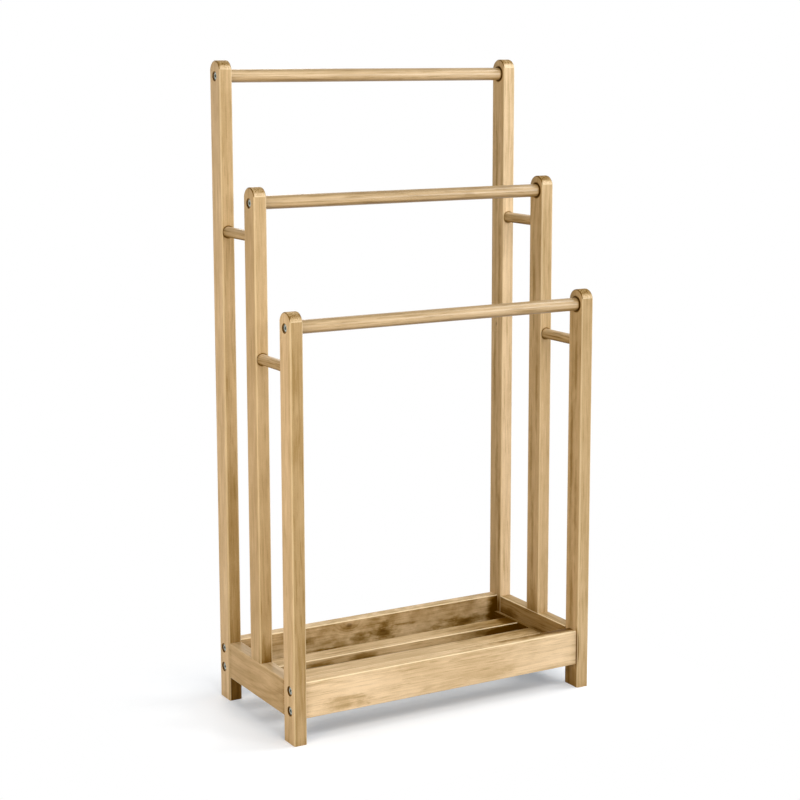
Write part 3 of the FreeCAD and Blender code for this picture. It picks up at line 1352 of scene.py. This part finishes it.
def left_side(wood: WoodFinish) -> SideFrame:
    """Chooses the wood of the left side frame.

    Args:
        wood: Its stain and lacquer.

    Returns:
        The side frame.
    """
    # Painted shade low on the rear and middle posts' front faces, where the posts before them
    # shade them.
    low_rear = soaks_on(
        Axis.Y, 0.0825, 0.005,
        (LEFT_POSTS_X, 0.0, 0.02, 0.07, 0.3, 0.6),
        (LEFT_POSTS_X, 0.1, 0.02, 0.35, 0.2, 0.4),
    )
    low_middle = soaks_on(
        Axis.Y, -0.015, 0.006,
        (LEFT_POSTS_X, 0.06, 0.02, 0.07, 0.35, 0.2, 0.6),
        (LEFT_POSTS_X, 0.1, 0.02, 0.3, 0.12, 0.4),
    )
    front_foot = soaks_on(Axis.Y, -0.1125, 0.006, (LEFT_POSTS_X, 0.015, 0.009, 0.04, -0.09, 0.3))
    outer_foot = soaks_on(Axis.X, -0.2275, 0.006, (-0.0975, 0.0, 0.03, 0.06, 0.08, 0.4))
    rear_faces = ((Face.FRONT, 0.17),)
    middle_faces = ((Face.LEFT, 0.03), (Face.FRONT, 0.04))
    return SideFrame(
        Side.LEFT,
        wood,
        posts={
            "rear": post(1.1, 0.17, *rear_faces, cap=0.4, soaks=low_rear),
            "middle": post(2.3, 0.25, *middle_faces, slope=-0.02, cap=0.3, soaks=low_middle),
            "front": post(3.7, 0.2, (Face.FRONT, 0.23), cap=0.34, soaks=front_foot + outer_foot),
        },
        spacers=spacers(upper=4.2, lower=4.9),
        rail=Timber(
            Axis.Y,
            5.3,
            0.31,
            pith=(0.03, 0.004),
            figure=0.08,
            wander=0.02,
            ring=0.009,
            blotch=0.4,
            streaks=0.5,
            # Pale top edges: wear, and painted highlight.
            rubbed=((Face.TOP, Face.LEFT, 0.3), (Face.TOP, Face.RIGHT, 0.7)),
        ),
        ledger=Timber(Axis.Y, 6.1, 0.5, arris=0.0),
    )


def right_side(wood: WoodFinish) -> SideFrame:
    """Chooses the wood of the right side frame.

    Args:
        wood: Its stain and lacquer.

    Returns:
        The side frame.
    """
    # The posts' inner faces are darker, partly painted shade.
    rear_faces = ((Face.LEFT, 0.08), (Face.FRONT, -0.07))
    front_faces = ((Face.LEFT, 0.06), (Face.FRONT, 0.04))
    small_knot = (Knot((RIGHT_INNER_X, 0.098, 0.484), 0.0022, 0.5),)
    # The first spot on each post is painted shade where it meets the rails, and the front post's
    # second is painted shade at its foot.
    rear_soaks = inner_soaks((0.0845, 0.045, 0.012, 0.042, 0.5, 0.5, 0.3)) + inner_streaks(
        (0.1, 0.7), (0.091, 0.56), (0.102, 0.42), (0.095, 0.27), (0.088, 0.2)
    )
    middle_soaks = inner_soaks((-0.002, 0.081, 0.018, 0.05, 0.28, 0.1, 0.5)) + inner_streaks(
        (0.003, 0.55), (-0.006, 0.42), (0.006, 0.3), (0.001, 0.17)
    )
    front_soaks = inner_soaks(
        (-0.1105, 0.057, 0.0065, 0.034, 0.6, 0.5),
        (-0.0975, 0.0, 0.03, 0.045, 0.3, 0.4),
        (-0.092, 0.35, 0.006, 0.5, 0.1, 0.1, 0.7),
    ) + inner_streaks((-0.1, 0.45), (-0.092, 0.33), (-0.103, 0.24), (-0.096, 0.12))
    # Painted shade on the side rail's inner face above the slats' ends.
    rail_bands = inner_soaks(
        (0.06, 0.06, 0.03, 0.012, 0.3, 0.2, 1.0),
        (-0.02, 0.052, 0.05, 0.01, 0.35, 0.2, 1.0),
    )
    ledger_shade = soaks_on(Axis.X, 0.2, 0.015, (0.0, 0.05, 0.12, 0.02, 0.3, 0.6))
    return SideFrame(
        Side.RIGHT,
        wood,
        posts={
            "rear": post(11.1, 0.22, *rear_faces, knots=small_knot, soaks=rear_soaks),
            "middle": post(12.3, 0.27, (Face.LEFT, 0.05), soaks=middle_soaks),
            "front": post(13.7, 0.28, *front_faces, slope=-0.03, soaks=front_soaks),
        },
        spacers=spacers(upper=14.2, lower=14.9),
        rail=Timber(
            Axis.Y,
            15.3,
            0.57,
            # Its top is painted paler, as painted light.
            ((Face.TOP, -0.15),),
            figure=0.14,
            soaks=rail_bands,
            # Pale top edge: wear, and painted highlight.
            rubbed=((Face.TOP, Face.LEFT, 0.8),),
        ),
        # The ledger's inner face is darker, painted shade inside the tray.
        ledger=Timber(Axis.Y, 16.1, 0.5, ((Face.LEFT, 0.3),), arris=0.0, soaks=ledger_shade),
    )


def tray(wood: WoodFinish) -> Tray:
    """Chooses the wood of the tray's rails and slats.

    Args:
        wood: Their stain and lacquer.

    Returns:
        The tray.
    """
    rear_knots = (
        Knot((-0.0386, REAR_RAIL_Y, 0.0742), 0.004, 0.55),
        Knot((0.0173, REAR_RAIL_Y, 0.0569), 0.004, 0.2),
    )
    rear_smears = soaks_on(
        Axis.Y, REAR_RAIL_Y, 0.01,
        (-0.0386, 0.071, 0.016, 0.008, 0.25, 0.0, 1.6),
        (0.0173, 0.056, 0.022, 0.022, 0.45, 0.0, 2.2),
        (-0.0204, 0.0514, 0.02, 0.016, 0.34, 0.0, 2.2),
        (-0.055, 0.046, 0.02, 0.012, 0.25, 0.0, 1.8),
        (-0.085, 0.042, 0.035, 0.007, 0.5, 0.2, 1.3),
        (-0.107, 0.060, 0.03, 0.007, 0.25, 0.2, 1.4),
        (-0.01, 0.036, 0.05, 0.008, 0.3, 0.2, 1.4),
        (0.05, 0.062, 0.03, 0.003, 0.35, 0.1, 1.8),
        (0.147, 0.050, 0.06, 0.012, 0.42, 0.1, 1.6),
        # Painted shade in the corner at the rail's right end.
        (0.2095, 0.057, 0.022, 0.05, 0.75, 0.3, 0.5),
    )
    front_shade = soaks_on(
        Axis.Y, FRONT_RAIL_Y, 0.01,
        (0.02, 0.06, 0.16, 0.06, 0.12, 0.2, 0.8),
        (-0.15, 0.045, 0.05, 0.012, 0.25, 0.1, 1.4),
    ) + soaks_on(Axis.Z, 0.081, 0.005, (0.2, -0.096, 0.2, 0.012, 0.6, 0.1, 0.9))
    # Painted shade at the slats' right ends, below the side rail.
    slat_ends = (
        Soak((0.2045, 0.043, 0.05), (0.03, 0.035, 0.02), 0.7, 0.3, 0.6),
        Soak((0.2, 0.03, 0.0525), (0.15, 0.09, 0.02), 0.4, 0.1, 0.8),
    )
    blotches = slat_ends + soaks_on(
        Axis.Y, 0.0285, 0.006,
        (-0.12, 0.047, 0.03, 0.006, 0.4, 0.2, 1.0),
        (-0.05, 0.049, 0.03, 0.006, 0.4, 0.2, 1.0),
        # Painted shade on the slat's front face near its right end.
        (0.18, 0.047, 0.04, 0.009, 0.6, 0.3, 0.8),
    )
    # Pale top front edges: wear, and painted highlight.
    top_edge = ((Face.TOP, Face.FRONT, 0.9),)
    slat_looks = {
        1: dict(seed=23.1, depth=0.35, soaks=slat_ends),
        2: dict(seed=24.8, depth=0.38, soaks=slat_ends),
        3: dict(seed=25.6, depth=0.4, soaks=blotches, blotch=0.5),
    }
    return Tray(
        wood,
        rails={
            "rear": Timber(
                Axis.X,
                21.5,
                0.4,
                # Top painted paler, as painted light.
                ((Face.TOP, -0.12), (Face.REAR, -0.12)),
                blotch=0.9,
                mottle=34.0,
                figure=0.08,
                streaks=0.8,
                knots=rear_knots,
                soaks=rear_smears,
                rubbed=top_edge,
            ),
            "front": Timber(
                Axis.X,
                22.4,
                0.1,
                ((Face.TOP, 0.14),),
                blotch=0.4,
                streaks=0.75,
                soaks=front_shade,
                # Pale front edges as well: wear, and painted highlight.
                rubbed=top_edge + ((Face.FRONT, Face.RIGHT, 1.0), (Face.FRONT, Face.LEFT, 0.6)),
            ),
        },
        slats={
            # Tops painted paler, as painted light, with pale top edges of wear and painted
            # highlight.
            number: Timber(Axis.X, faces=((Face.TOP, -0.08),), rubbed=top_edge, **look)
            for number, look in slat_looks.items()
        },
    )


def towel_bars(wood: WoodFinish) -> TowelBars:
    """Chooses the wood of the three bars, with painted shade underneath and along the top.

    Args:
        wood: Their stain and lacquer.

    Returns:
        The bars.
    """
    # Painted shade underneath and along the top.
    stain = ((Face.UNDER, 0.34), (Face.TOP, 0.22))
    cuts = {"rear": (31.2, 0.29), "middle": (32.6, 0.34), "front": (33.9, 0.32)}
    bars = {
        row: Timber(Axis.X, seed, depth, stain, arris=0.0, end_soak=0.0, blotch=0.2)
        for row, (seed, depth) in cuts.items()
    }
    return TowelBars(wood, bars)


def studio() -> Studio:
    """Returns the floor, lamps and camera."""
    return Studio(
        lamps=(
            Lamp("key", (1.9, -0.5, 2.2), (0.0, 0.0, 0.2), 1.1, 32.0),
            Lamp("front", (1.6, -2.3, 0.95), (0.0, 0.0, 0.6), 0.7, 17.0),
            Lamp("high", (-0.2, -1.9, 2.3), (0.0, 0.0, 0.3), 0.8, 24.0),
            Lamp("rear", (0.4, 2.3, 1.9), (0.0, 0.0, 0.4), 1.4, 26.0),
            Lamp("fill", (-1.3, -0.6, 0.45), (-0.2, 0.0, 0.4), 0.8, 7.8, (255, 233, 197)),
        ),
    )


def main() -> None:
    """Builds the stand's looks and reports each piece."""
    logging.basicConfig(level=logging.INFO, format="%(name)s: %(message)s")
    kept = set(frame["nodes"].values()) | set(frame["bodies"].values())
    for item in list(bpy.context.scene.objects):
        if item not in kept:
            bpy.data.objects.remove(item)
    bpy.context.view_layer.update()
    bpy.context.scene.view_settings.view_transform = "Standard"
    wood = WoodFinish()
    left_side(replace(wood, gloss=0.05)).build()
    right_side(replace(wood, gloss=0.03)).build()
    towel_bars(replace(wood, roughness=0.3, gloss=0.55)).build()
    tray(replace(wood, roughness=0.46, gloss=0.04)).build()
    Fasteners(zinc("zinc", MetalFinish()), beech("beech", BeechFinish())).build()
    studio().build()


if __name__ == "__main__":
    main()
